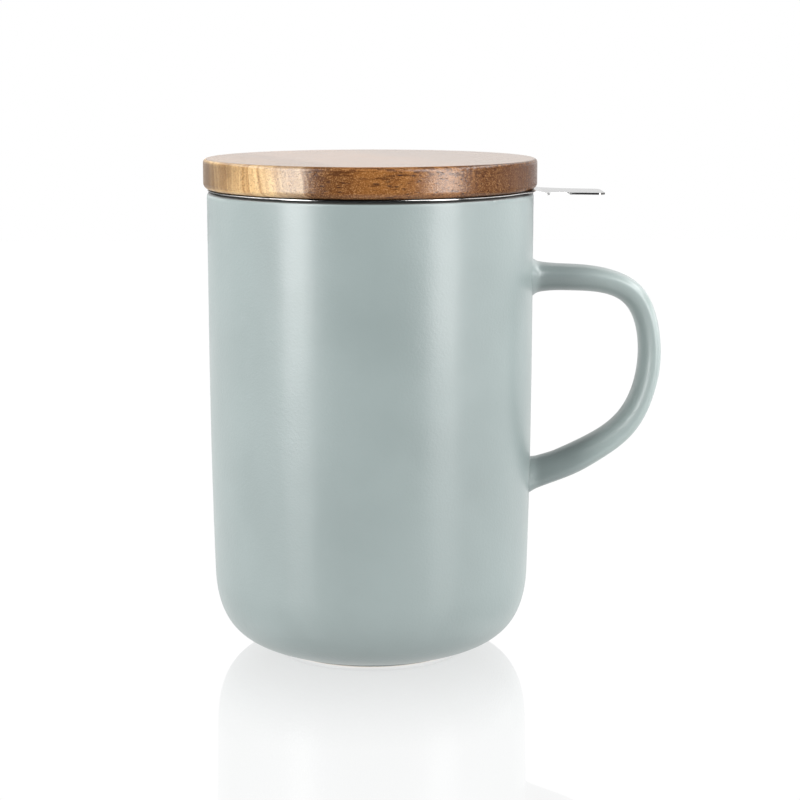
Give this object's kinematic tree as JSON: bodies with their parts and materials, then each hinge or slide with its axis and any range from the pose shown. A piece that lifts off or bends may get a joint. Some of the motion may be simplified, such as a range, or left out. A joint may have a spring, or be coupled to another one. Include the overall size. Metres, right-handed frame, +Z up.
{
  "type": "lidded tea mug with infuser",
  "caption": "Straight-sided stoneware tea mug with a loop handle, a lift-out slotted steel infuser with a lifting tab, and a wooden disc lid with a sealing ring.",
  "frame": {"origin": "on the mug's axis, at the plane of the foot ring that it stands on", "axes": "+Z up along the mug's axis, +X towards the handle and the infuser's tab"},
  "size_m": [0.1214, 0.0878, 0.1313],
  "materials": {
    "glaze": "satin sage glaze on stoneware",
    "steel": "stamped stainless steel, satin to bright",
    "wood": "oiled acacia",
    "silicone": "matt translucent silicone"
  },
  "bodies": {
    "mug": {"mug_body": "glaze", "mug_handle": "glaze"},
    "infuser": {"infuser_rim": "steel", "infuser_wall": "steel", "infuser_base": "steel"},
    "seal": {"lid_seal": "silicone"},
    "lid": {"lid_disc": "wood", "lid_plug": "wood"}
  },
  "joints": [
    {"name": "infuser_lift", "type": "slide", "parent": "mug", "child": "infuser", "axis": [0, 0, 1], "range_m": [0, 0.1]},
    {"name": "lid_lift", "type": "slide", "parent": "infuser", "child": "seal", "axis": [0, 0, 1], "range_m": [0, 0.05]},
    {"name": "lid_turn", "type": "hinge", "parent": "seal", "child": "lid", "pos_m": [0, 0, 0.1195], "axis": [0, 0, 1], "continuous": true}
  ]
}
